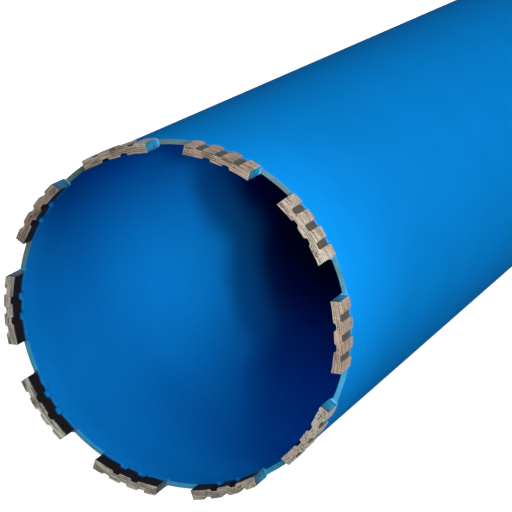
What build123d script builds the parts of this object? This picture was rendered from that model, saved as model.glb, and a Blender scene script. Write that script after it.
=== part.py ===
from build123d import *
from math import asin, degrees
import os

# Diamond core bit for wet drilling. It stands on the face of its hub with the cutting crown up.
# The origin is the centre of the hub's face and +Z is the drilling axis. Lengths are in millimetres.

# Cutting crown
cutting_diameter = 122.0
segment_count = 10
segment_length = 24.0
segment_height = 9.5
outer_overhang = 0.75       # how far a segment stands out from the barrel's outer wall
inner_overhang = 1.0        # how far it stands in from the barrel's bore
edge_chamfer = 0.25         # upright edges of the lobes and of the ends

# Zigzag notches in the segments
outer_notch_count = 3
outer_notch_pitch = 6.7
outer_notch_mouth = 2.7
outer_notch_floor = 2.0
outer_notch_depth = 0.8
inner_notch_count = 2
inner_notch_pitch = 7.0
inner_notch_mouth = 2.9
inner_notch_floor = 2.0
inner_notch_depth = 0.9
notch_run_out = 1.0         # how far the cutter of a notch reaches past the segment's face

# One segment is brazed a little out of pitch, as hand-placed ones are
stray_segment = 8
stray_angle = -0.7

# Silver solder under each segment
solder_thickness = 0.1
solder_setback = 0.15       # how far the solder's fillet stops short of the overhang's edge

# Barrel
barrel_wall = 1.75
barrel_length = 450.0
rear_edge_chamfer = 0.8

# Back plate
plate_thickness = 10.0
plate_recess = 4.0          # depth of the plate's rear face inside the barrel's rear end
plate_clearance = 0.05      # radial, in the barrel's bore
plate_edge_chamfer = 0.6
plate_weld_leg = 3.0

# Hub, with an internal 1 1/4 inch 7 UNC thread
hub_projection = 25.0       # from the hub's face to the barrel's rear end
thread_minor_diameter = 28.2
thread_depth = 1.9
lead_in_length = 3.0
flat_wall = 4.5             # metal between the lead-in and a wrench flat
flat_depth = 3.5            # cut into the round hub
flat_length = 14.0
hub_edge_chamfer = 1.0
spigot_wall = 6.9
spigot_clearance = 0.05     # radial, in the plate's hole
hub_weld_leg = 4.0

# Radii and heights that follow
cutting_radius = cutting_diameter / 2
barrel_radius = cutting_radius - outer_overhang
bore_radius = barrel_radius - barrel_wall
core_radius = bore_radius - inner_overhang
thread_radius = thread_minor_diameter / 2
lead_in_radius = thread_radius + thread_depth
hub_radius = lead_in_radius + flat_wall + flat_depth
spigot_radius = thread_radius + spigot_wall
rim_height = hub_projection + barrel_length
foot_height = rim_height + solder_thickness
plate_rear = hub_projection + plate_recess
plate_front = plate_rear + plate_thickness

standing = (Align.CENTER, Align.CENTER, Align.MIN)


def turned(section):
    """Solid of revolution about Z, from a closed outline drawn as (radius, height)."""
    return revolve(Plane.XZ * make_face(section), Axis.Z)


def notch(face_radius, run_out, depth, mouth, floor, position):
    """Trapezoid cut into the curved face, at this distance along it from the segment's middle."""
    run_out_width = mouth + (mouth - floor) * run_out / depth
    near = face_radius - depth
    far = face_radius + run_out
    outline = Polygon(
        (far, run_out_width / 2),
        (near, floor / 2),
        (near, -floor / 2),
        (far, -run_out_width / 2),
        align=None,
    )
    return Rot(0, 0, degrees(asin(position / face_radius))) * outline


def positions(count, pitch):
    """Distances of evenly spaced notches from the segment's middle."""
    return [(index - (count - 1) / 2) * pitch for index in range(count)]


def segment_outline():
    """Plan of one segment, centred on +X: a piece of the ring with parallel ends and zigzag faces."""
    ring = Circle(cutting_radius) - Circle(core_radius)
    outline = ring & Pos(cutting_radius, 0) * Rectangle(cutting_radius, segment_length)
    for position in positions(outer_notch_count, outer_notch_pitch):
        outline -= notch(
            cutting_radius, notch_run_out, outer_notch_depth, outer_notch_mouth, outer_notch_floor, position
        )
    for position in positions(inner_notch_count, inner_notch_pitch):
        outline -= notch(
            core_radius, -notch_run_out, -inner_notch_depth, inner_notch_mouth, inner_notch_floor, position
        )
    return outline


def segment(outline):
    """Pressed and sintered segment, one piece from its foot to its cutting face."""
    outer_corners = outline.vertices().filter_by(lambda corner: is_at_radius(corner, cutting_radius))
    inner_corners = outline.vertices().filter_by(lambda corner: is_at_radius(corner, core_radius))
    softened = chamfer(outer_corners + inner_corners, edge_chamfer)
    return extrude(Pos(0, 0, foot_height) * softened, segment_height)


def is_at_radius(corner, radius):
    """Whether a corner lies on the circle of this radius, and so on a lobe or an end."""
    return abs((corner.X**2 + corner.Y**2) ** 0.5 - radius) < 0.001


def braze_seam(outline):
    """Solder layer on the rim, with a fillet under each overhang, as wide as the segment above it."""
    outer_reach = cutting_radius - solder_setback
    inner_reach = core_radius + solder_setback
    outer_toe = rim_height - (outer_reach - barrel_radius)
    inner_toe = rim_height - (bore_radius - inner_reach)
    section = Polyline(
        (outer_reach, foot_height),
        (barrel_radius, outer_toe),
        (barrel_radius, rim_height),
        (bore_radius, rim_height),
        (bore_radius, inner_toe),
        (inner_reach, foot_height),
        close=True,
    )
    lowest = min(outer_toe, inner_toe)
    return turned(section) & extrude(Pos(0, 0, lowest) * outline, foot_height - lowest)


def barrel():
    """Thin steel tube, square at the cutting end and chamfered outside at the rear."""
    outside = Cylinder(barrel_radius, barrel_length, align=standing)
    bore = Cylinder(bore_radius, barrel_length, align=standing)
    tube = Pos(0, 0, hub_projection) * (outside - bore)
    rear_edge = tube.edges().group_by(Axis.Z)[0].sort_by(SortBy.RADIUS)[-1]
    return chamfer(rear_edge, rear_edge_chamfer)


def back_plate():
    """Turned disc that closes the barrel's rear end, with a hole for the hub's spigot."""
    blank = Cylinder(bore_radius - plate_clearance, plate_thickness, align=standing)
    hole = Cylinder(spigot_radius + spigot_clearance, plate_thickness, align=standing)
    disc = Pos(0, 0, plate_rear) * (blank - hole)
    front_edge = disc.edges().group_by(Axis.Z)[-1].sort_by(SortBy.RADIUS)[-1]
    return chamfer(front_edge, plate_edge_chamfer)


def threaded_hub():
    """Turned bush: round shoulder with two wrench flats, spigot in the plate and a bore right through."""
    shoulder = Cylinder(hub_radius, plate_rear, align=standing)
    shoulder = chamfer(shoulder.edges().group_by(Axis.Z)[0], hub_edge_chamfer)
    spigot = Cylinder(spigot_radius, plate_front, align=standing)
    bore = Cylinder(thread_radius, plate_front, align=standing)
    lead_in = Cylinder(lead_in_radius, lead_in_length, align=standing)
    across_flats = 2 * (hub_radius - flat_depth)
    shaft = Cylinder(hub_radius, flat_length, align=standing)
    between_flats = Box(2 * hub_radius, across_flats, flat_length, align=standing)
    return shoulder + spigot - bore - lead_in - (shaft - between_flats)


def plate_weld():
    """Weld ring in the corner between the plate's rear face and the barrel's bore."""
    section = Polyline(
        (bore_radius, plate_rear),
        (bore_radius, plate_rear - plate_weld_leg),
        (bore_radius - plate_weld_leg, plate_rear),
        close=True,
    )
    return turned(section)


def hub_weld():
    """Weld ring in the corner between the hub's shoulder and the plate's rear face."""
    section = Polyline(
        (hub_radius, plate_rear),
        (hub_radius + hub_weld_leg, plate_rear),
        (hub_radius, plate_rear - hub_weld_leg),
        close=True,
    )
    return turned(section)


def crown():
    """The segments and their solder, spaced clockwise seen from the cutting end."""
    outline = segment_outline()
    one_segment = segment(outline)
    one_seam = braze_seam(outline)
    nodes = {}
    for index in range(segment_count):
        number = index + 1
        angle = -index * 360 / segment_count
        if number == stray_segment:
            angle += stray_angle
        nodes[f"segment_{number:02d}"] = Rot(0, 0, angle) * one_segment
        nodes[f"braze_seam_{number:02d}"] = Rot(0, 0, angle) * one_seam
    return nodes


nodes = {
    "barrel": barrel(),
    "back_plate": back_plate(),
    "threaded_hub": threaded_hub(),
    "plate_weld": plate_weld(),
    "hub_weld": hub_weld(),
}
nodes.update(crown())

os.makedirs("parts", exist_ok=True)
for name, shape in nodes.items():
    export_step(shape, f"parts/{name}.step")
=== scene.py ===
import math

import bpy
import numpy as np
from mathutils import Matrix, Vector


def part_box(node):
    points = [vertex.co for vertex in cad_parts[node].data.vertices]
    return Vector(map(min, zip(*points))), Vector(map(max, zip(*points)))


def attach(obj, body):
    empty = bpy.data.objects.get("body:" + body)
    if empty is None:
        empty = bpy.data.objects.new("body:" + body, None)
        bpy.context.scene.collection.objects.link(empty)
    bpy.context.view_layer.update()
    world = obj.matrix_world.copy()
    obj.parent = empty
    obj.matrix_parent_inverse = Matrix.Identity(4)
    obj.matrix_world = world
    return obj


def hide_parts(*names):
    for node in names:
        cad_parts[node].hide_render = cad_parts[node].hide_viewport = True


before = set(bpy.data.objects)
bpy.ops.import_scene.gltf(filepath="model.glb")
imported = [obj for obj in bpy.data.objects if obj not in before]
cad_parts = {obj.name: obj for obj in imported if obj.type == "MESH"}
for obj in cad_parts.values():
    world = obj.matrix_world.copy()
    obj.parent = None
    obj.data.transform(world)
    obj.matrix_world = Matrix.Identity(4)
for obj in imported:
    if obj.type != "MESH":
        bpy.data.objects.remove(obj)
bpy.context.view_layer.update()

MM = 0.001
FULL_TURN = 2 * math.pi
NEARLY_ZERO = 1e-6

# ---------------------------------------------------------------- sizes, in metres
HUB_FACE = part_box("threaded_hub")[0].z
PLATE_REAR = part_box("back_plate")[0].z
PLATE_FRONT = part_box("back_plate")[1].z
BARREL_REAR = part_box("barrel")[0].z
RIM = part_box("barrel")[1].z
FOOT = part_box("segment_01")[0].z
CROWN_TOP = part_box("segment_01")[1].z

BARREL_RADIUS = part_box("barrel")[1].x
BORE_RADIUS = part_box("plate_weld")[1].x
OUTER_OVERHANG = 0.75 * MM
INNER_OVERHANG = 1.0 * MM
CUTTING_RADIUS = BARREL_RADIUS + OUTER_OVERHANG
CORE_RADIUS = BORE_RADIUS - INNER_OVERHANG
RIM_EASE = 0.12 * MM
REAR_CHAMFER = 0.8 * MM
BARREL_STEPS = 600
BARREL_ROW_SPACING = 12 * MM

SEGMENT_COUNT = 10
SEGMENT_PITCH = FULL_TURN / SEGMENT_COUNT
SEGMENT_HALF_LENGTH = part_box("segment_01")[1].y
SEGMENT_CELLS = (140, 30, 56)     # along a segment, through it and up it
SEGMENT_SEED = 1000
STRAY_SEGMENT = 8
STRAY_ANGLE = math.radians(-0.7)

# where the notches are along a segment, how wide at their mouth and floor, and how deep
OUTER_NOTCHES = dict(places=(-6.7 * MM, 0.0, 6.7 * MM), mouth=2.7 * MM, floor=2.0 * MM, depth=0.8 * MM)
INNER_NOTCHES = dict(places=(-3.5 * MM, 3.5 * MM), mouth=2.9 * MM, floor=2.0 * MM, depth=0.9 * MM)
NOTCH_SOFTNESS = 0.10             # how rounded a notch's corners are, as a share of its wall
NOTCH_WANDER = 0.20 * MM
NOTCH_WANDER_SIZE = (2.2 * MM, 2.0 * MM)
NOTCH_FLARE = 0.9 * MM            # how much wider the outer notches are at the foot
NOTCH_FLARE_HEIGHT = 1.0 * MM
# the depths, as shares of a notch's whole depth, between which its wall and its floor begin
NOTCH_WALL_EDGE = (0.10, 0.45)
NOTCH_FLOOR_EDGE = (0.75, 0.98)

SPIGOT_RADIUS = 21.0 * MM
SPIGOT_CHAMFER = 0.3 * MM
PLATE_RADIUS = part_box("back_plate")[1].x
PLATE_HOLE_RADIUS = SPIGOT_RADIUS + 0.05 * MM
PLATE_CHAMFER = 0.6 * MM
PLATE_EASE = 0.15 * MM
PLATE_STEPS = 360
PLATE_ROW_SPACING = 4 * MM

HUB_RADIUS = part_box("threaded_hub")[1].x
HUB_CHAMFER = 1.0 * MM
HUB_EASE = 0.05 * MM
HUB_STEPS = 216
HALF_ACROSS_FLATS = 20.5 * MM
FLAT_LENGTH = 14.0 * MM
LEAD_IN_RADIUS = 16.0 * MM
LEAD_IN_LENGTH = 3.0 * MM
LEAD_IN_CHAMFER = 0.5 * MM
THREAD_MINOR_RADIUS = 14.1 * MM
THREAD_MAJOR_RADIUS = 15.875 * MM
THREAD_PITCH = 25.4 * MM / 7      # seven turns to the inch
THREAD_RUN_OUT = 1.5 * THREAD_PITCH
THREAD_ROOT, THREAD_CREST = 1 / 8, 1 / 4     # widths at the bottom and top of the thread, in pitches
THREAD_ROWS = 150

PLATE_WELD_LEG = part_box("plate_weld")[1].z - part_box("plate_weld")[0].z
HUB_WELD_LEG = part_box("hub_weld")[1].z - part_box("hub_weld")[0].z
PLATE_WELD_RIPPLES, HUB_WELD_RIPPLES = 150, 70
WELD_STEPS, WELD_ROWS = 1080, 13
WELD_SEED = 5
WELD_CROWN = 0.25 * MM            # how far a weld bulges, and then what its ripples and lumps add
WELD_RIPPLE_HEIGHT = 0.12 * MM
WELD_LUMP_HEIGHT = 0.15 * MM

# ---------------------------------------------------------------- wear, paint, painted sheen and painted shade
# how strongly each segment's ends caught the spray paint, from the first segment round
OVERSPRAY = (1.0, 0.95, 0.9, 0.7, 0.85, 0.7, 0.3, 0.5, 0.4, 0.7)
# how strongly each segment's ground faces carry a painted sheen, a painted highlight of their streaks
# catching the light
SEGMENT_SHEEN = (0.30, 0.10, 0.40, 0.10, 0.55, 0.50, 0.68, 1.00, 0.70, 0.08)
# how pitted rather than scratched they are
PITTING = (0.3, 0.2, 0.3, 0.5, 1.0, 0.6, 0.3, 0.1, 0.3, 0.4)
# how far the paint has worn off the rim in each gap, from the one after the first segment round
RIM_WEAR = (0.95, 0.90, 0.15, 0.00, 0.00, 0.00, 0.00, 0.05, 0.95, 1.00)
# how much more or less than usual each gap is darkened: its scuffs, together with painted shade in darkened
# gaps and painted light in lightened ones
RIM_SCUFFS_AND_SHADE = (0.10, 0.20, 0.60, 0.05, -0.20, -0.20, 0.00, -0.10, 0.00, -0.10)

FACE_STREAKS = dict(spacing=0.62 * MM, length=7.0 * MM)
LOBE_STREAKS = dict(spacing=0.70 * MM, length=5.0 * MM)
LOBE_STREAK_SLOPE = 0.25          # how far a lobe's streaks shift along it for each step up it
GRAIN_SIZE = 0.30 * MM
PIT_CLUSTER_SIZE = (3.0 * MM, 1.5 * MM)
PIT_EDGE = (0.98, 1.12)           # between which levels of the noise a pit's wall lies
PIT_CLUSTERING, PIT_GAIN = 0.35, 0.12     # how much clusters and a segment's pitting add to that noise
SKIN_LOSS = 0.015 * MM            # how deep the ground faces lie, and then what each mark adds
STREAK_DEPTH = 0.09 * MM
GRAIN_DEPTH = 0.05 * MM
PIT_DEPTH = 0.16 * MM
OUTSIDE_LOSS, OTHER_LOSS = 0.9, 0.4     # how worn the other sides are, next to the cutting face
SCRATCH_LOSS, PITTED_CREST = 0.6, 0.8     # how far pitting evens the scratches out, and to what level
CHIP_SIZE = 0.8 * MM
CHIP_EDGE = (0.55, 0.80)
EDGE_WEAR = 0.20 * MM             # radius of a worn edge, and how much larger it is at a chip
CHIP_WEAR = 1.3
CORNER_SHARE = 0.293              # how far a rounded edge draws back, as a share of its radius
BRIGHT_EDGE = (0.05 * MM, 0.30 * MM)    # distances from an edge over which its brightness fades
RUBBED_TOP, RUBBED_END = 0.25 * MM, 0.20 * MM      # widths of the ground edges of the inner face

# heights above the foot at which the spray paint starts to thin out and where it ends
INNER_SPRAY = (1.9 * MM, 3.7 * MM)
LOBE_SPRAY = (0.1 * MM, 0.5 * MM)
NOTCH_SPRAY = (0.5 * MM, 1.0 * MM)
NOTCH_WALL_SPRAY = (1.5 * MM, 3.5 * MM)
END_SPRAY_LEAST = 4.0 * MM        # where it ends on a segment's end, and what full overspray adds
END_SPRAY_SPREAD = 6.0 * MM
SPRAY_UNEVENNESS = 1.1 * MM
SPRAY_PATCH_SIZE = (2.0 * MM, 4.0 * MM)
SPRAY_BLOTCH_SIZE = 1.6 * MM
# heights above the foot over which a broken painted shade line along the inner face's lower edge fades out
FOOT_SHADE_LINE = (0.15 * MM, 0.50 * MM)
SHADED_END = 1.2 * MM             # how far from the core an end is darkened by a painted shade in its inner corner
# depths below the rim at which a painted shade starts to darken the bore and where it is full
BORE_SHADE_DEPTHS = (165 * MM, 300 * MM)

SOLDER_SEED = 3000
SOLDER_SIDE_STEPS, SOLDER_END_STEPS, SOLDER_ROWS = 150, 14, 7
SOLDER_STEP = 0.16 * MM           # rough distance from one point of the foot's outline to the next
SOLDER_SKIN = 0.02 * MM           # how far the solder's foot stands off the tube
SOLDER_SUNK = 0.10 * MM           # how far the solder's top reaches into the segment
SOLDER_INSET = 0.05 * MM          # how far inside the cutting radius it always stays
SOLDER_LUMP_LENGTH = 1.3 * MM
SOLDER_RIPPLE_LENGTH = 0.5 * MM
SOLDER_RIPPLE_HEIGHT = 0.05 * MM
# how far the solder reaches where it is thinnest, and what its lumps add
SOLDER_UP_SEGMENT = (0.25 * MM, 0.45 * MM)
SOLDER_DOWN_OUTSIDE = (0.35 * MM, 0.30 * MM)
SOLDER_DOWN_BORE = (0.45 * MM, 1.10 * MM)
SOLDER_PAST_END = (0.35 * MM, 0.50 * MM)
SOLDER_CURVE_OUT, SOLDER_CURVE_DOWN = 1.6, 0.8     # powers that make the fillet's face hollow
# the hidden inner wall: how far it is drawn in each way, and the heights of its two rows
SOLDER_HIDDEN_Y, SOLDER_HIDDEN_R = 0.985, 0.25
SOLDER_HIDDEN_ROWS = (RIM - 0.05 * MM, FOOT + 0.10 * MM)

# ---------------------------------------------------------------- colours, linear RGB
PAINT_BLUE = (0.003, 0.235, 0.680)
PAINT_MOTTLE = tuple(1.05 * channel for channel in PAINT_BLUE)
PAINT_TINT = (0.020, 0.350, 0.900)
# the painted shade deep in the bore
BORE_SHADE = (0.003, 0.030, 0.100)
DUST = (0.100, 0.480, 0.800)
OVERSPRAY_BLUE = (0.012, 0.250, 0.480)
FOOT_BLUE = (0.003, 0.240, 0.660)
BEAD_HIGHLIGHT = (0.150, 0.400, 0.500)
RIM_CYAN = (0.060, 0.430, 0.720)
RIM_TEAL = (0.150, 0.240, 0.250)
RIM_DARK = (0.060, 0.120, 0.130)
GROUND_WARM = (0.400, 0.300, 0.225)
GROUND_SHEEN = (0.880, 0.850, 0.740)
GROUND_RUSTY = (0.300, 0.190, 0.130)
GROUND_DARK = (0.065, 0.048, 0.038)
GRIT_PALE = (0.700, 0.680, 0.560)
SKIN_BLACK = (0.010, 0.009, 0.009)
SKIN_BROWN = (0.054, 0.046, 0.036)
SKIN_GREY = (0.060, 0.055, 0.050)
STEEL = (0.300, 0.310, 0.320)
STEEL_STAIN = (0.170, 0.165, 0.160)
FLOOR_GREY = (0.550, 0.550, 0.560)
WHITE = (1.0, 1.0, 1.0)
PAINT_METAL = 0.06
SEGMENT_METAL = 0.12
STEEL_METAL = 0.95

# ---------------------------------------------------------------- camera and lights
CAMERA_PLACE = Vector((0.09718, -0.34074, RIM + 0.68673))
CAMERA_AIM = Vector((0.01320, -0.03319, RIM))
CAMERA_UP = Vector((0.9458, -0.2371, -0.2219))
CAMERA_LENS, CAMERA_SENSOR = 162.58, 36.0
CAMERA_NEAR, CAMERA_FAR = 0.01, 100
FLOOR_SIZE = 40
FLOOR_GLOW = 0.92
WORLD_FILL = 0.03
# each softbox's azimuth and tilt from straight up in degrees, its distance and size, and its power
SOFTBOXES = {
    "key_light": (-66, 36, 1.3, 0.50, 5.0),
    "front_light": (-65, 60, 1.3, 0.35, 4.6),
    "side_light": (-85, 80, 1.3, 0.35, 6.1),
    "back_light": (110, 78, 1.3, 0.60, 4.5),
}
SOFTBOX_AIM = Vector((0, 0, RIM - 0.1))
# each snoot's depth of aim down the bore, its tilt and beam in degrees, its radius and its power
SNOOTS = {
    "steep_snoot": (0.140, 28, 4.5, 0.05, 51.0),
    "shallow_snoot": (0.130, 33, 5.0, 0.04, 57.0),
}
SNOOT_SIDE, SNOOT_AZIMUTH, SNOOT_DISTANCE = 0.004, -90, 1.0


# ---------------------------------------------------------------- noise
def smooth(t):
    """A share from 0 to 1, eased at both ends."""
    return t * t * (3 - 2 * t)


def soft_step(x, start, end):
    """0 before the start and 1 after the end, eased between them."""
    return smooth(np.clip((x - start) / (end - start), 0, 1))


def value_noise(seed, u, v):
    """Smooth random field in 0..1 over two coordinates, the same for the same seed."""
    size = 64
    table = np.random.RandomState(seed).rand(size, size)
    column, row = np.floor(u).astype(int), np.floor(v).astype(int)
    s, t = smooth(u - column), smooth(v - row)
    c0, c1, r0, r1 = column % size, (column + 1) % size, row % size, (row + 1) % size
    low = table[c0, r0] * (1 - s) + table[c1, r0] * s
    high = table[c0, r1] * (1 - s) + table[c1, r1] * s
    return low * (1 - t) + high * t


def fractal_noise(seed, u, v, octaves=3):
    """Sum of ever finer and weaker noise, in 0..1."""
    total, weight, size = 0.0, 0.0, 1.0
    for octave in range(octaves):
        total = total + value_noise(seed + 31 * octave, u * size, v * size) / size
        weight += 1 / size
        size *= 2
    return total / weight


# ---------------------------------------------------------------- meshes
def add_attributes(mesh, attributes):
    """Writes named values, one for each point of a mesh, for its material to read."""
    for name, values in attributes.items():
        layer = mesh.attributes.new(name, "FLOAT", "POINT")
        layer.data.foreach_set("value", np.asarray(values, np.float32))


def read_vectors(elements, key):
    """A mesh's points, or the middles of its faces, as rows of x, y and z."""
    values = np.empty(3 * len(elements))
    elements.foreach_get(key, values)
    return values.reshape(-1, 3)


def mesh_object(name, points, quads, smooth_below=40):
    """A mesh object from an array of points and one of quads, smooth apart from its sharp edges."""
    mesh = bpy.data.meshes.new(name)
    mesh.vertices.add(len(points))
    mesh.vertices.foreach_set("co", np.asarray(points, np.float32).ravel())
    mesh.loops.add(4 * len(quads))
    mesh.loops.foreach_set("vertex_index", np.asarray(quads, np.int32).ravel())
    mesh.polygons.add(len(quads))
    mesh.polygons.foreach_set("loop_start", np.arange(0, 4 * len(quads), 4, dtype=np.int32))
    mesh.polygons.foreach_set("use_smooth", np.ones(len(quads), bool))
    mesh.update(calc_edges=True)
    mesh.validate()
    mesh.set_sharp_from_angle(angle=math.radians(smooth_below))
    thing = bpy.data.objects.new(name, mesh)
    bpy.context.scene.collection.objects.link(thing)
    return thing


def grid_quads(rows, columns):
    """Quads of a grid of points numbered row by row and joined round on itself both ways."""
    i, j = np.meshgrid(np.arange(rows), np.arange(columns), indexing="ij")
    i, j = i.ravel(), j.ravel()
    i_next, j_next = (i + 1) % rows, (j + 1) % columns
    corners = ((i, j), (i, j_next), (i_next, j_next), (i_next, j))
    return np.stack([row * columns + column for row, column in corners], 1)


def turn_angles(steps):
    """Angles once round the axis, evenly spaced."""
    return np.linspace(0, FULL_TURN, steps, endpoint=False)


def ring_object(name, radii, heights, angles, smooth_below=40):
    """A closed solid about the axis, from rows of radii and heights with one column for each angle."""
    points = np.stack([radii * np.cos(angles), radii * np.sin(angles), heights], -1)
    return mesh_object(name, points.reshape(-1, 3), grid_quads(*radii.shape), smooth_below)


def turned_object(name, profile, steps):
    """A solid turned from a closed profile of (radius, height) points, anticlockwise in that plane."""
    profile = np.array(profile)
    radii = np.repeat(profile[:, :1], steps, axis=1)
    heights = np.repeat(profile[:, 1:], steps, axis=1)
    return ring_object(name, radii, heights, turn_angles(steps))


def eased(profile, bevel):
    """A closed profile with a small two-point bevel on each corner."""
    corners = np.array(profile)
    out = []
    for index, corner in enumerate(corners):
        for other in (corners[index - 1], corners[(index + 1) % len(corners)]):
            way = other - corner
            length = np.linalg.norm(way)
            out.append(corner + way / length * min(bevel, 0.3 * length))
    return out


def densified(profile, spacing):
    """A closed profile with points added so that no stretch is longer than the spacing."""
    corners = [np.array(point) for point in profile]
    out = []
    for start, end in zip(corners, corners[1:] + corners[:1]):
        count = max(1, int(math.ceil(np.linalg.norm(end - start) / spacing)))
        out += [start + (end - start) * k / count for k in range(count)]
    return out


# ---------------------------------------------------------------- materials
class Nodes:
    """Short calls for building the node tree of a material or a world."""

    def __init__(self, owner):
        owner.use_nodes = True
        self.owner = owner
        self.tree = owner.node_tree

    def add(self, kind, **values):
        """A new node with some of its settings."""
        node = self.tree.nodes.new(kind)
        for key, value in values.items():
            setattr(node, key, value)
        return node

    def feed(self, socket, value):
        """Gives a socket a number, a colour or a link."""
        if isinstance(value, tuple):
            socket.default_value = (*value, 1)
        elif isinstance(value, (int, float)):
            socket.default_value = value
        else:
            self.tree.links.new(value, socket)

    def noise(self, scale, detail=3.0, roughness=0.55, stretch=None):
        """A noise value over the object's own coordinates; scale is in bumps per metre."""
        source = self.add("ShaderNodeTexCoord").outputs["Object"]
        if stretch:
            mapping = self.add("ShaderNodeMapping")
            self.feed(mapping.inputs["Vector"], source)
            mapping.inputs["Scale"].default_value = stretch
            source = mapping.outputs["Vector"]
        node = self.add("ShaderNodeTexNoise")
        self.feed(node.inputs["Vector"], source)
        self.feed(node.inputs["Scale"], scale)
        self.feed(node.inputs["Detail"], detail)
        self.feed(node.inputs["Roughness"], roughness)
        return node.outputs["Fac"]

    def ramp(self, value, start, end, low=0.0, high=1.0):
        """A grey that goes from low to high as a value goes from the start to the end."""
        node = self.add("ShaderNodeValToRGB")
        self.feed(node.inputs["Fac"], value)
        for element, position, grey in zip(node.color_ramp.elements, (start, end), (low, high)):
            element.position = position
            element.color = (grey, grey, grey, 1)
        return node.outputs["Color"]

    def math(self, operation, a, b, clamp=False):
        """Two values put together by an operation."""
        node = self.add("ShaderNodeMath", operation=operation, use_clamp=clamp)
        self.feed(node.inputs[0], a)
        self.feed(node.inputs[1], b)
        return node.outputs[0]

    def centred(self, value, amount):
        """A value from 0 to 1, moved to lie round 0 and then multiplied by an amount."""
        return self.math("MULTIPLY", self.math("SUBTRACT", value, 0.5), amount)

    def mix(self, factor, a, b):
        """One colour mixed towards another by a factor."""
        node = self.add("ShaderNodeMix", data_type="RGBA")
        factor_socket, a_socket, b_socket = node.inputs["Factor"], node.inputs[6], node.inputs[7]
        self.feed(factor_socket, factor)
        self.feed(a_socket, a)
        self.feed(b_socket, b)
        return node.outputs[2]

    def attribute(self, name):
        """A value that the piece's mesh holds for each of its points."""
        return self.add("ShaderNodeAttribute", attribute_name=name).outputs["Fac"]

    def bump(self, height, distance, strength, under=None):
        """A normal tilted by a height, on top of another bump where one is given."""
        node = self.add("ShaderNodeBump")
        self.feed(node.inputs["Height"], height)
        self.feed(node.inputs["Distance"], distance)
        self.feed(node.inputs["Strength"], strength)
        if under is not None:
            self.feed(node.inputs["Normal"], under)
        return node.outputs["Normal"]

    def seen_directly(self):
        """1 for a ray from the camera, off a glossy surface or through glass, and 0 for the rest."""
        path = self.add("ShaderNodeLightPath")
        seen = path.outputs["Is Camera Ray"]
        for other in ("Is Glossy Ray", "Is Transmission Ray"):
            seen = self.math("MAXIMUM", seen, path.outputs[other])
        return seen

    def finish(self, **sockets):
        """Sets the shader's sockets, each to a value or a link."""
        shader = self.tree.nodes["Principled BSDF"]
        for key, value in sockets.items():
            self.feed(shader.inputs[key.replace("_", " ")], value)
        return self.owner


def paint_material():
    """Blue spray paint with faint mottling and dust; deep in the bore it darkens into painted shade."""
    n = Nodes(bpy.data.materials.new("blue_paint"))
    colour = n.mix(n.ramp(n.noise(scale=35, detail=2), 0.35, 0.70), PAINT_BLUE, PAINT_MOTTLE)
    dust = n.ramp(n.noise(scale=420, detail=1), 0.80, 0.84, high=0.5)
    colour = n.mix(dust, colour, DUST)
    # painted shade deep in the bore, with a ragged edge
    bore_shade = n.attribute("bore_shade")
    patches = n.math("MULTIPLY", n.centred(n.noise(scale=45, detail=4), 0.5), bore_shade)
    colour = n.mix(n.math("ADD", bore_shade, patches, clamp=True), colour, BORE_SHADE)
    waves = n.bump(n.noise(scale=60, detail=1), distance=0.2 * MM, strength=0.03)
    normal = n.bump(n.noise(scale=900, detail=1), distance=0.02 * MM, strength=0.25, under=waves)
    rough = n.ramp(n.noise(scale=180, detail=2), 0.30, 0.70, low=0.36, high=0.44)
    return n.finish(
        Base_Color=colour, Roughness=rough, Normal=normal, Metallic=PAINT_METAL,
        Specular_IOR_Level=0.0, Specular_Tint=PAINT_TINT,
    )


def rim_material():
    """Thin overspray on the tube's cut end: cyan in places, and grey-teal where steel shows through; scuffed
    darker, with painted shade in some gaps and painted light in others.
    """
    n = Nodes(bpy.data.materials.new("rim_paint"))
    patches = n.centred(n.noise(scale=300, detail=4), 1.1)
    colour = n.mix(n.math("ADD", n.attribute("worn"), patches, clamp=True), RIM_CYAN, RIM_TEAL)
    scuffs = n.ramp(n.noise(scale=1500), 0.50, 0.72, high=0.45)
    # scuffs, with painted shade and painted light for each gap
    colour = n.mix(n.math("ADD", scuffs, n.attribute("scuffs_and_shade"), clamp=True), colour, RIM_DARK)
    normal = n.bump(n.noise(scale=2500, detail=2), distance=0.04 * MM, strength=0.4)
    return n.finish(Base_Color=colour, Roughness=0.45, Normal=normal, Specular_IOR_Level=0.2)


def seam_material():
    """Silver solder under spray paint: nearly the tube's blue, with a pale painted highlight on its beads at
    the segment's ends.
    """
    n = Nodes(bpy.data.materials.new("seam_paint"))
    lump = n.noise(scale=900)
    colour = n.mix(n.ramp(lump, 0.35, 0.70, high=0.5), PAINT_BLUE, OVERSPRAY_BLUE)
    # a pale painted highlight on the beads at the segment's ends
    pale = n.math("MULTIPLY", n.attribute("bead_highlight"), n.ramp(lump, 0.35, 0.65, low=0.25))
    colour = n.mix(pale, colour, BEAD_HIGHLIGHT)
    normal = n.bump(n.noise(scale=1800), distance=0.08 * MM, strength=0.6)
    return n.finish(Base_Color=colour, Roughness=0.40, Normal=normal, Specular_IOR_Level=0.0)


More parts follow.
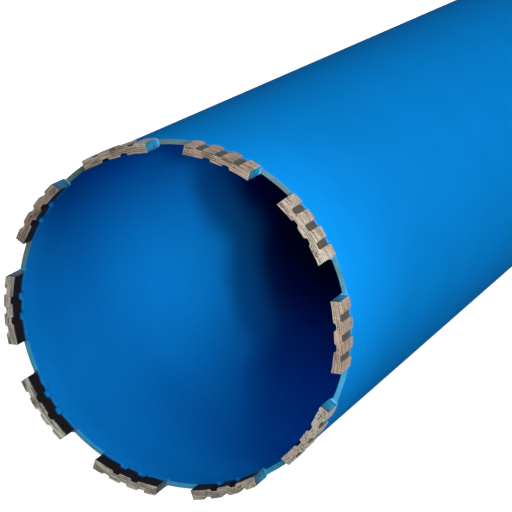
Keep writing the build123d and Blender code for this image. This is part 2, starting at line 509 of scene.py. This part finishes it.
def segment_material():
    """Sintered metal: ground on the top and outer lobes, with a painted sheen there, dark elsewhere, sprayed
    at foot and ends, with painted shade at the foot and near the core.
    """
    n = Nodes(bpy.data.materials.new("sintered_matrix"))
    fine = n.noise(scale=3800, roughness=0.7)

    # ground metal with a painted sheen, darker in its scratches and pits, with a rusty tint and pale grit
    # painted sheen: a painted highlight for each segment, lighter near its edges
    worn = n.mix(n.attribute("sheen"), GROUND_WARM, GROUND_SHEEN)
    worn = n.mix(n.ramp(n.noise(scale=700, detail=2), 0.35, 0.65, high=0.20), worn, GROUND_RUSTY)
    depth = n.math("ADD", n.attribute("tone"), n.centred(fine, n.attribute("grit")), clamp=True)
    worn = n.mix(depth, GROUND_DARK, worn)
    worn = n.mix(n.ramp(n.noise(scale=2900, detail=1), 0.68, 0.72, high=0.8), worn, GRIT_PALE)

    # the dark skin that grinding hasn't reached
    skin = n.mix(n.attribute("brown"), SKIN_BLACK, SKIN_BROWN)
    skin = n.mix(n.ramp(fine, 0.50, 0.85, high=0.3), skin, SKIN_GREY)
    colour = n.mix(n.attribute("ground"), skin, worn)

    # spray paint with a ragged edge
    paint = n.attribute("paint")
    ragged = n.math("MULTIPLY", n.centred(n.noise(scale=900), 0.5), n.math("GREATER_THAN", paint, 0.02))
    cover = n.math("ADD", paint, ragged, clamp=True)
    colour = n.mix(cover, colour, n.mix(n.attribute("thick"), OVERSPRAY_BLUE, FOOT_BLUE))
    metal = n.math("MULTIPLY", n.math("SUBTRACT", 1.0, cover, clamp=True), SEGMENT_METAL)
    rough = n.ramp(fine, 0.30, 0.70, low=0.42, high=0.68)
    normal = n.bump(fine, distance=0.06 * MM, strength=0.7)
    return n.finish(
        Base_Color=colour, Metallic=metal, Roughness=rough, Normal=normal, Specular_IOR_Level=0.1
    )


def steel_material():
    """Turned steel with fine tool marks and a little oxide."""
    n = Nodes(bpy.data.materials.new("hub_steel"))
    colour = n.mix(n.ramp(n.noise(scale=90, detail=4), 0.40, 0.75, high=0.5), STEEL, STEEL_STAIN)
    marks = n.noise(scale=60, stretch=(1, 1, 60))
    normal = n.bump(marks, distance=0.03 * MM, strength=0.5)
    rough = n.ramp(n.noise(scale=300), 0.30, 0.70, low=0.28, high=0.42)
    return n.finish(Base_Color=colour, Metallic=STEEL_METAL, Roughness=rough, Normal=normal)


# ---------------------------------------------------------------- tube, plate, welds and hub
def dress(piece, material, node):
    """Gives a piece its finish and puts it in place of its CAD node."""
    piece.data.materials.append(material)
    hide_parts(node)
    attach(piece, "root")


def round_the_gaps(gap, levels):
    """Levels given for the middle of each gap between segments, read at any place round the rim."""
    return np.interp(gap, np.arange(SEGMENT_COUNT + 1), levels + levels[:1])


def build_barrel(paint, rim_paint):
    """The tube: smooth walls, a cut rim with slightly eased edges and a chamfered rear edge."""
    profile = [
        (BARREL_RADIUS - REAR_CHAMFER, BARREL_REAR),
        (BARREL_RADIUS, BARREL_REAR + REAR_CHAMFER),
        (BARREL_RADIUS, RIM - RIM_EASE),
        (BARREL_RADIUS - RIM_EASE, RIM),
        (BORE_RADIUS + RIM_EASE, RIM),
        (BORE_RADIUS, RIM - RIM_EASE),
        (BORE_RADIUS, BARREL_REAR),
    ]
    barrel = turned_object("barrel_tube", densified(profile, BARREL_ROW_SPACING), BARREL_STEPS)
    dress(barrel, paint, "barrel")
    barrel.data.materials.append(rim_paint)
    on_rim = read_vectors(barrel.data.polygons, "center")[:, 2] > RIM - 0.9 * RIM_EASE
    barrel.data.polygons.foreach_set("material_index", on_rim.astype(np.int32))
    x, y, z = read_vectors(barrel.data.vertices, "co").T
    gap = (-np.arctan2(y, x) / SEGMENT_PITCH - 0.5) % SEGMENT_COUNT
    in_bore = np.hypot(x, y) < BORE_RADIUS + 0.1 * MM
    add_attributes(barrel.data, dict(
        worn=round_the_gaps(gap, RIM_WEAR),
        scuffs_and_shade=round_the_gaps(gap, RIM_SCUFFS_AND_SHADE),
        # painted shade deep in the bore
        bore_shade=np.where(in_bore, soft_step(RIM - z, *BORE_SHADE_DEPTHS), 0),
    ))


def build_plate(paint):
    """The disc inside the tube's rear end, with a hole for the hub and a chamfer on its front edge."""
    profile = [
        (PLATE_HOLE_RADIUS, PLATE_REAR),
        (PLATE_RADIUS, PLATE_REAR),
        (PLATE_RADIUS, PLATE_FRONT - PLATE_CHAMFER),
        (PLATE_RADIUS - PLATE_CHAMFER, PLATE_FRONT),
        (PLATE_HOLE_RADIUS, PLATE_FRONT),
    ]
    profile = densified(eased(profile, PLATE_EASE), PLATE_ROW_SPACING)
    plate = turned_object("back_disc", profile, PLATE_STEPS)
    dress(plate, paint, "back_plate")


def build_weld(name, node, paint, corner, toe_a, toe_b, ripples):
    """A weld ring between two toes, bulging and rippled like overlapping scales."""
    angles = turn_angles(WELD_STEPS)
    share = np.linspace(0, 1, WELD_ROWS)[:, None]
    bulge = np.sin(math.pi * share)
    scales = np.abs(np.sin(ripples * angles / 2 + 0.9 * bulge))
    lumps = fractal_noise(WELD_SEED, angles[None, :] * 20, share * 3)
    lift = bulge * (WELD_CROWN + WELD_RIPPLE_HEIGHT * scales + WELD_LUMP_HEIGHT * lumps)
    toe_a, toe_b, corner = np.array(toe_a), np.array(toe_b), np.array(corner)
    chord = toe_b - toe_a
    out = np.array([chord[1], -chord[0]]) / np.linalg.norm(chord)
    if np.dot(out, corner - toe_a) > 0:
        out = -out
    radii = toe_a[0] + chord[0] * share + out[0] * lift
    heights = toe_a[1] + chord[1] * share + out[1] * lift
    radii = np.vstack([radii, np.full((1, WELD_STEPS), corner[0])])
    heights = np.vstack([heights, np.full((1, WELD_STEPS), corner[1])])
    if np.cross(chord, corner - toe_a) < 0:
        radii, heights = radii[::-1], heights[::-1]
    weld = ring_object(name, radii, heights, angles, smooth_below=60)
    dress(weld, paint, node)


def thread_radius(height, angles):
    """Radius of the helical thread at a height, which runs out to the plain bore at its top."""
    turn = (height / THREAD_PITCH - angles / FULL_TURN) % 1.0
    from_root = np.abs(turn - 0.5) * 2
    ridge = np.clip((from_root - THREAD_ROOT) / (1 - THREAD_ROOT - THREAD_CREST), 0, 1)
    fade = min(1.0, (PLATE_FRONT - height) / THREAD_RUN_OUT)
    return THREAD_MINOR_RADIUS + (THREAD_MAJOR_RADIUS - THREAD_MINOR_RADIUS) * (1 - ridge) * fade


def build_hub(steel):
    """The hub, with wrench flats outside and a real helical thread inside."""
    angles = turn_angles(HUB_STEPS)
    flat_edge = math.asin(HALF_ACROSS_FLATS / HUB_RADIUS)
    for edge in (flat_edge, math.pi - flat_edge, math.pi + flat_edge, FULL_TURN - flat_edge):
        angles[np.argmin(np.abs(angles - edge))] = edge
    rise = np.maximum(np.abs(np.sin(angles)), NEARLY_ZERO)
    flats = np.minimum(HUB_RADIUS, HALF_ACROSS_FLATS / rise)
    face = np.minimum(flats, HUB_RADIUS - HUB_CHAMFER)
    thread_end, flat_end = HUB_FACE + LEAD_IN_LENGTH, HUB_FACE + FLAT_LENGTH

    # rows of radius and height, from the thread's top down its bore and up the outside
    rows = [(thread_radius(z, angles), z) for z in np.linspace(PLATE_FRONT, thread_end, THREAD_ROWS)]
    rows += [
        (LEAD_IN_RADIUS, thread_end),
        (LEAD_IN_RADIUS, HUB_FACE + LEAD_IN_CHAMFER),
        (LEAD_IN_RADIUS + LEAD_IN_CHAMFER, HUB_FACE),
        (face - HUB_EASE, HUB_FACE),
        (face, HUB_FACE + HUB_EASE),
        (flats, HUB_FACE + HUB_CHAMFER),
    ]
    rows += [(flats, z) for z in np.linspace(HUB_FACE + 2 * HUB_CHAMFER, flat_end - 2 * HUB_EASE, 6)]
    rows += [
        (flats, flat_end),
        (HUB_RADIUS, flat_end + HUB_EASE),
        (HUB_RADIUS, PLATE_REAR),
        (SPIGOT_RADIUS, PLATE_REAR),
        (SPIGOT_RADIUS, PLATE_FRONT - SPIGOT_CHAMFER),
        (SPIGOT_RADIUS - SPIGOT_CHAMFER, PLATE_FRONT),
    ]
    radii = np.array([np.broadcast_to(radius, angles.shape) for radius, _ in rows])
    heights = np.array([np.full(angles.shape, height) for _, height in rows])
    hub = ring_object("threaded_bush", radii, heights, angles, smooth_below=35)
    dress(hub, steel, "threaded_hub")


# ---------------------------------------------------------------- segments
def segment_angle(number):
    """Angle of a segment's middle about the axis, clockwise seen from the cutting end."""
    return -(number - 1) * SEGMENT_PITCH + (STRAY_ANGLE if number == STRAY_SEGMENT else 0)


def carried_round(x, y, z, number):
    """Points of a piece drawn beside the x axis, turned about the axis to its own segment's place."""
    angle = segment_angle(number)
    x_turned = x * math.cos(angle) - y * math.sin(angle)
    y_turned = x * math.sin(angle) + y * math.cos(angle)
    return np.stack([x_turned, y_turned, z], -1).reshape(-1, 3)


def notch_depth(along, radius, places, mouth, floor, depth, widening=0.0):
    """Depth of the notches at a distance along the segment, with slanted walls and rounded corners."""
    turn = np.arcsin(np.clip(along / radius, -1, 1))
    total = 0.0
    for place in places:
        offset = np.abs(radius * np.sin(turn - math.asin(place / radius)))
        t = ((mouth + widening) / 2 - offset) / ((mouth - floor) / 2)
        start, stop = np.logaddexp(0, t / NOTCH_SOFTNESS), np.logaddexp(0, (t - 1) / NOTCH_SOFTNESS)
        total = total + depth * NOTCH_SOFTNESS * (start - stop)
    return total


def edge_ease(distance, radius):
    """How far a face draws back near an edge, so that the edge is rounded."""
    return CORNER_SHARE * radius * np.clip(1 - distance / radius, 0, 1) ** 2


def grooves(seed, along, across, spacing, length):
    """Wavering scratches about one spacing apart, from 0 in a groove to 1 on a crest."""
    drift = value_noise(seed, along / length, across / (8 * spacing))
    wave = 0.5 + 0.5 * np.cos(FULL_TURN * (across / spacing + drift))
    fine = value_noise(seed + 2, 2 * along / length, 2.6 * across / spacing)
    bite = value_noise(seed + 1, 2 * along / length, across / spacing)
    return soft_step(0.75 * wave + 0.25 * fine + bite - 0.5, 0.0, 0.80)


def block_shell(counts):
    """Indices (i, j, k) of the points on the skin of a block of cells, and the quads of its six sides."""
    i, j, k = np.meshgrid(*(np.arange(count + 1) for count in counts), indexing="ij")
    skin = (i % counts[0] == 0) | (j % counts[1] == 0) | (k % counts[2] == 0)
    index = np.full(skin.shape, -1)
    index[skin] = np.arange(skin.sum())
    sides = [
        index[:, :, -1][:, ::-1], index[:, :, 0], index[:, -1, :], index[:, 0, :][:, ::-1],
        index[-1, :, :][:, ::-1], index[0, :, :],
    ]
    quads = []
    for side in sides:
        corners = (side[:-1, :-1], side[1:, :-1], side[1:, 1:], side[:-1, 1:])
        quads.append(np.stack(corners, -1).reshape(-1, 4))
    return i[skin], j[skin], k[skin], np.vstack(quads)


class SegmentSkin:
    """The points over a segment's six sides, drawn beside the x axis, with their wear and finish."""

    def __init__(self, number):
        self.number = number
        self.seed = SEGMENT_SEED + 37 * number
        self.pitting = PITTING[number - 1]
        cells_along, cells_through, cells_up = SEGMENT_CELLS
        i, j, k, self.quads = block_shell(SEGMENT_CELLS)
        self.top = k == cells_up
        self.outside, self.inside = j == cells_through, j == 0
        self.end = i % cells_along == 0
        self.y = SEGMENT_HALF_LENGTH * (2 * i / cells_along - 1)
        self.through = j / cells_through
        self.height = (CROWN_TOP - FOOT) * k / cells_up
        self.z = FOOT + self.height

        # the notches wander a little, and those outside open out where they meet the foot
        size_along, size_up = NOTCH_WANDER_SIZE
        noise = fractal_noise(self.seed + 1, self.y / size_along, self.height / size_up)
        place = self.y + NOTCH_WANDER * (noise - 0.5)
        flare = NOTCH_FLARE * (1 - soft_step(self.height, 0.0, NOTCH_FLARE_HEIGHT))
        self.notch = notch_depth(place, CUTTING_RADIUS, widening=flare, **OUTER_NOTCHES)
        outer = CUTTING_RADIUS - self.notch
        inner = CORE_RADIUS + notch_depth(place, CORE_RADIUS, **INNER_NOTCHES)
        self.radius = inner + (outer - inner) * self.through

        # how far each point is from the edges of its side
        self.to_top, self.to_end = CROWN_TOP - self.z, SEGMENT_HALF_LENGTH - np.abs(self.y)
        self.to_outside, self.to_inside = outer - self.radius, self.radius - inner

    def grind(self):
        """Cuts streaks along the cutting face and round the outer lobes, with grain and pits."""
        level = np.where(self.top, self.radius, self.height)
        sloping = self.y + LOBE_STREAK_SLOPE * self.height
        face_crest = grooves(self.seed + 2, self.y, self.radius, **FACE_STREAKS)
        lobe_crest = grooves(self.seed + 4, sloping, self.height, **LOBE_STREAKS)
        crest = np.where(self.top, face_crest, lobe_crest)
        grain = value_noise(self.seed + 6, self.y / GRAIN_SIZE, level / GRAIN_SIZE)
        cluster = value_noise(self.seed + 7, self.y / PIT_CLUSTER_SIZE[0], level / PIT_CLUSTER_SIZE[1])
        self.pit = soft_step(grain + PIT_CLUSTERING * cluster + PIT_GAIN * self.pitting, *PIT_EDGE)
        self.crest = crest + SCRATCH_LOSS * self.pitting * (PITTED_CREST - crest)
        self.loss = SKIN_LOSS + STREAK_DEPTH * (1 - self.crest) + GRAIN_DEPTH * grain + PIT_DEPTH * self.pit

    def wear(self):
        """Takes the ground metal off each side, and rounds and chips the edges."""
        across = self.through * 3 + self.height / CHIP_SIZE
        chip = soft_step(fractal_noise(self.seed + 8, self.y / CHIP_SIZE, across, 2), *CHIP_EDGE)
        edge = EDGE_WEAR * (1 + CHIP_WEAR * chip)
        near_top, near_end = edge_ease(self.to_top, edge), edge_ease(self.to_end, edge)
        near_wall = edge_ease(self.to_outside, edge) + edge_ease(self.to_inside, edge)
        self.z = self.z - np.where(self.top, self.loss + near_wall + near_end, 0)
        self.radius = self.radius - np.where(self.outside, OUTSIDE_LOSS * self.loss + near_top + near_end, 0)
        self.radius = self.radius + np.where(self.inside, OTHER_LOSS * self.loss + near_top + near_end, 0)
        end_loss = np.where(self.end, OTHER_LOSS * self.loss + near_top + near_wall, 0)
        self.y = self.y - np.sign(self.y) * end_loss

    def in_notch(self, start, end):
        """0 outside the outer notches and 1 in them, from a start to an end as shares of their depth."""
        return soft_step(self.notch, start * OUTER_NOTCHES["depth"], end * OUTER_NOTCHES["depth"])

    def bare_finish(self):
        """Where the metal is ground or has its dark skin, its painted sheen, lighter near the edges, and its
        tone and grit.
        """
        # the painted sheen of this segment's ground faces
        sheen = SEGMENT_SHEEN[self.number - 1]
        to_wall = np.minimum(self.to_outside, self.to_inside)
        to_edge = np.select([self.top, self.outside], [to_wall, self.to_top], 1.0)
        edge = 1 - soft_step(np.minimum(to_edge, self.to_end), *BRIGHT_EDGE)
        rubbed = np.maximum(1 - self.to_top / RUBBED_TOP, 1 - self.to_end / RUBBED_END)
        rubbed = 0.5 * np.clip(rubbed, 0, 1)
        in_notch = self.in_notch(*NOTCH_WALL_EDGE)
        return dict(
            ground=np.select([self.top, self.outside, self.inside], [1.0, 1 - in_notch, rubbed], 0.0),
            brown=np.select([self.outside, self.end], [in_notch, 0.30], 0.0),
            sheen=sheen + (1 - sheen) * 0.7 * edge,
            tone=self.crest * (1 - self.pit) * np.where(self.top, 1.0, 0.85),
            grit=np.full(len(self.y), 0.7 + self.pitting),
        )

    def paint_finish(self):
        """How well the spray paint covers each side, and where it is thick; less cover also paints shade at
        the inner face's foot and on the ends near the core.
        """
        size_along, size_up = SPRAY_PATCH_SIZE
        across = self.through * 2 + self.height / size_up
        uneven = fractal_noise(self.seed + 9, self.y / size_along, across) - 0.5
        line = self.height + SPRAY_UNEVENNESS * uneven
        # a broken painted shade line along the inner face's lower edge, where less paint lets the dark skin
        # show
        foot_shade = (1 - soft_step(self.height, *FOOT_SHADE_LINE)) * soft_step(uneven, -0.25, 0.05)
        inner = (1 - soft_step(line, *INNER_SPRAY)) * (1 - 0.6 * foot_shade)

        in_notch = self.in_notch(*NOTCH_WALL_EDGE)
        notch_wall = in_notch * (1 - self.in_notch(*NOTCH_FLOOR_EDGE))
        outer = 1 - soft_step(line, *LOBE_SPRAY)
        outer = np.maximum(outer, in_notch * (1 - soft_step(line, *NOTCH_SPRAY)))
        outer = np.maximum(outer, 0.8 * notch_wall * (1 - soft_step(line, *NOTCH_WALL_SPRAY)))

        strength = OVERSPRAY[self.number - 1]
        reach = END_SPRAY_LEAST + END_SPRAY_SPREAD * strength
        thinning = (1.15 - 0.75 * strength) * soft_step(line, 0.3 * reach, reach)
        blotch = fractal_noise(self.seed + 10, self.through * 2.5, self.height / SPRAY_BLOTCH_SIZE)
        end = strength**0.5 * (1 - thinning) * (1 - 0.45 * soft_step(blotch, 0.40, 0.75))
        # painted shade on a segment's end, darker next to the core
        end = end * (0.65 + 0.35 * soft_step(self.to_inside, 0.0, SHADED_END))
        cover = np.select([self.top, self.inside, self.outside, self.end], [0.0, inner, outer, end], 0.0)
        thick = np.select([self.inside, self.outside], [1.0, 0.5 * (1 - notch_wall)], 0.0)
        return dict(paint=np.clip(cover, 0, 1), thick=thick)

    def points(self):
        """The worn skin in its place on the ring."""
        return carried_round(np.sqrt(self.radius**2 - self.y**2), self.y, self.z, self.number)


def build_segment(number, material):
    """One segment: a closed grid over its six sides, with ground streaks, pits and worn edges."""
    skin = SegmentSkin(number)
    skin.grind()
    skin.wear()
    node = f"segment_{number:02d}"
    piece = mesh_object(f"cutting_{node}", skin.points(), skin.quads, smooth_below=180)
    add_attributes(piece.data, skin.bare_finish() | skin.paint_finish())
    dress(piece, material, node)


def foot_loop():
    """Points once round a segment's foot: their y, radius, and the way out along the radius and along y."""
    half = SEGMENT_HALF_LENGTH
    along = np.linspace(-half, half, SOLDER_SIDE_STEPS)
    outer = CUTTING_RADIUS - notch_depth(along, CUTTING_RADIUS, **OUTER_NOTCHES)
    inner = CORE_RADIUS + notch_depth(along, CORE_RADIUS, **INNER_NOTCHES)
    share = np.linspace(0, 1, SOLDER_END_STEPS + 2)[1:-1]
    end = np.full(SOLDER_END_STEPS, half)
    y = np.concatenate([along, end, along[::-1], -end])
    radius = np.concatenate([
        outer, outer[-1] + (inner[-1] - outer[-1]) * share,
        inner[::-1], inner[0] + (outer[0] - inner[0]) * share,
    ])
    steps = [SOLDER_SIDE_STEPS, SOLDER_END_STEPS] * 2
    return y, radius, np.repeat([1, 0, -1, 0], steps), np.repeat([0, 1, 0, -1], steps)


def lumpy(reach, lump):
    """How far the solder reaches: its least, and what a lump adds to it."""
    least, added = reach
    return least + added * lump


def build_seam(number, material):
    """Solder round a segment's foot: a lumpy band from the segment's wall down to the tube."""
    seed = SOLDER_SEED + 53 * number
    loop_y, loop_r, out_r, out_y = foot_loop()
    count = len(loop_y)
    run = np.arange(count) * SOLDER_STEP
    lump = fractal_noise(seed, run / SOLDER_LUMP_LENGTH, np.zeros(count))
    outer_side, inner_side, ends = out_r > 0, out_r < 0, out_y != 0

    # the fillet's top is sunk in the segment's wall, and its foot lies on the tube
    top = FOOT + lumpy(SOLDER_UP_SEGMENT, lump)
    drops = [lumpy(SOLDER_DOWN_OUTSIDE, lump), lumpy(SOLDER_DOWN_BORE, lump)]
    low = RIM - np.select([outer_side, inner_side], drops, 0.0)
    wall_y, wall_r = loop_y - SOLDER_SUNK * out_y, loop_r - SOLDER_SUNK * out_r
    on_rim = np.clip(loop_r, BORE_RADIUS, BARREL_RADIUS)
    foot_r = np.select([outer_side, inner_side], [BARREL_RADIUS, BORE_RADIUS], on_rim) + SOLDER_SKIN * out_r
    foot_y = np.where(ends, out_y * (SEGMENT_HALF_LENGTH + lumpy(SOLDER_PAST_END, lump)), loop_y)

    # each row goes once round, from the fillet's top down to its foot, and then back inside
    rows = []
    for step in np.linspace(0, 1, SOLDER_ROWS):
        noise = fractal_noise(seed + 9, run / SOLDER_RIPPLE_LENGTH, np.full(count, step * 3), 2)
        ripple = SOLDER_RIPPLE_HEIGHT * (noise - 0.5)
        outward, down = step**SOLDER_CURVE_OUT, step**SOLDER_CURVE_DOWN
        y = wall_y + (foot_y - wall_y) * outward
        r = wall_r + (foot_r - wall_r) * outward + ripple * out_r
        rows.append((y, r, top + (low - top) * down))
    middle = (CUTTING_RADIUS + CORE_RADIUS) / 2
    hidden_y, hidden_r = loop_y * SOLDER_HIDDEN_Y, loop_r + (middle - loop_r) * SOLDER_HIDDEN_R
    for height in SOLDER_HIDDEN_ROWS:
        rows.append((hidden_y, hidden_r, np.full(count, height)))
    y, r, z = np.array(rows).transpose(1, 0, 2)
    r = np.minimum(r, CUTTING_RADIUS - SOLDER_INSET)
    points = carried_round(np.sqrt(r**2 - y**2), y, z, number)
    quads = grid_quads(len(rows), count)[:, ::-1]
    piece = mesh_object(f"solder_{number:02d}", points, quads, smooth_below=180)
    # where the seam's pale painted highlight goes: the beads at the segment's ends
    add_attributes(piece.data, dict(bead_highlight=np.tile(ends * 1.0, len(rows))))
    dress(piece, material, f"braze_seam_{number:02d}")


# ---------------------------------------------------------------- stage, lights and camera
def build_floor():
    """A wide pale floor, which a ray from the camera or a reflection sees as white."""
    bpy.ops.mesh.primitive_plane_add(size=FLOOR_SIZE, location=(0, 0, HUB_FACE))
    floor = bpy.context.object
    floor.name = "floor"
    n = Nodes(bpy.data.materials.new("floor_white"))
    floor.data.materials.append(n.finish(Base_Color=FLOOR_GREY, Roughness=0.9))
    glow = n.add("ShaderNodeEmission")
    n.feed(glow.inputs["Strength"], n.math("MULTIPLY", n.seen_directly(), FLOOR_GLOW))
    both = n.add("ShaderNodeAddShader")
    n.feed(both.inputs[0], n.tree.nodes["Principled BSDF"].outputs[0])
    n.feed(both.inputs[1], glow.outputs[0])
    n.feed(n.tree.nodes["Material Output"].inputs["Surface"], both.outputs[0])


def build_world():
    """A weak even fill from all round; the camera and reflections see white."""
    n = Nodes(bpy.data.worlds.new("studio"))
    bpy.context.scene.world = n.owner
    level = n.add("ShaderNodeMapRange")
    n.feed(level.inputs["Value"], n.seen_directly())
    n.feed(level.inputs["To Min"], WORLD_FILL)
    n.feed(level.inputs["To Max"], 1.0)
    background = n.tree.nodes["Background"]
    n.feed(background.inputs["Color"], WHITE)
    n.feed(background.inputs["Strength"], level.outputs["Result"])


def direction(azimuth, tilt):
    """Unit vector at an azimuth, and at a tilt from straight up, both in degrees."""
    a, t = math.radians(azimuth), math.radians(tilt)
    return Vector((math.cos(a) * math.sin(t), math.sin(a) * math.sin(t), math.cos(t)))


def add_lamp(data, aim, way, distance, power):
    """Hangs a lamp at a distance from what it is aimed at."""
    data.energy = power
    lamp = bpy.data.objects.new(data.name, data)
    bpy.context.scene.collection.objects.link(lamp)
    lamp.location = aim + distance * way
    lamp.rotation_mode = "QUATERNION"
    lamp.rotation_quaternion = way.to_track_quat("Z", "Y")
    lamp.visible_camera = False


def softbox(name, azimuth, tilt, distance, size, power):
    """A square area lamp aimed at the front of the tube."""
    data = bpy.data.lights.new(name, "AREA")
    data.size = size
    add_lamp(data, SOFTBOX_AIM, direction(azimuth, tilt), distance, power)


def snoot(name, depth, tilt, beam, radius, power):
    """A soft narrow beam down the bore, to a depth on its far wall, where it makes a pale band."""
    data = bpy.data.lights.new(name, "SPOT")
    data.spot_size = math.radians(beam)
    data.spot_blend = 1.0
    data.shadow_soft_size = radius
    aim = Vector((SNOOT_SIDE, BORE_RADIUS, RIM - depth))
    add_lamp(data, aim, direction(SNOOT_AZIMUTH, tilt), SNOOT_DISTANCE, power)


def build_camera():
    """The camera: close above the cutting end, looking down along the barrel."""
    data = bpy.data.cameras.new("camera")
    data.sensor_width = CAMERA_SENSOR
    data.lens = CAMERA_LENS
    data.clip_start, data.clip_end = CAMERA_NEAR, CAMERA_FAR
    camera = bpy.data.objects.new("camera", data)
    bpy.context.scene.collection.objects.link(camera)
    bpy.context.scene.camera = camera
    back = (CAMERA_PLACE - CAMERA_AIM).normalized()
    right = CAMERA_UP.cross(back).normalized()
    turn = Matrix((right, back.cross(right), back)).transposed().to_4x4()
    camera.matrix_world = Matrix.Translation(CAMERA_PLACE) @ turn


# ---------------------------------------------------------------- the bit in its studio
paint = paint_material()
build_barrel(paint, rim_material())
build_plate(paint)
build_weld(
    "plate_bead", "plate_weld", paint,
    corner=(BORE_RADIUS, PLATE_REAR),
    toe_a=(BORE_RADIUS, PLATE_REAR - PLATE_WELD_LEG),
    toe_b=(BORE_RADIUS - PLATE_WELD_LEG, PLATE_REAR),
    ripples=PLATE_WELD_RIPPLES,
)
build_weld(
    "hub_bead", "hub_weld", paint,
    corner=(HUB_RADIUS, PLATE_REAR),
    toe_a=(HUB_RADIUS + HUB_WELD_LEG, PLATE_REAR),
    toe_b=(HUB_RADIUS, PLATE_REAR - HUB_WELD_LEG),
    ripples=HUB_WELD_RIPPLES,
)
build_hub(steel_material())
segment_finish, seam_finish = segment_material(), seam_material()
for number in range(1, SEGMENT_COUNT + 1):
    build_segment(number, segment_finish)
    build_seam(number, seam_finish)

build_floor()
build_world()
for name, setting in SOFTBOXES.items():
    softbox(name, *setting)
for name, setting in SNOOTS.items():
    snoot(name, *setting)
build_camera()

bpy.context.scene.view_settings.view_transform = "Standard"
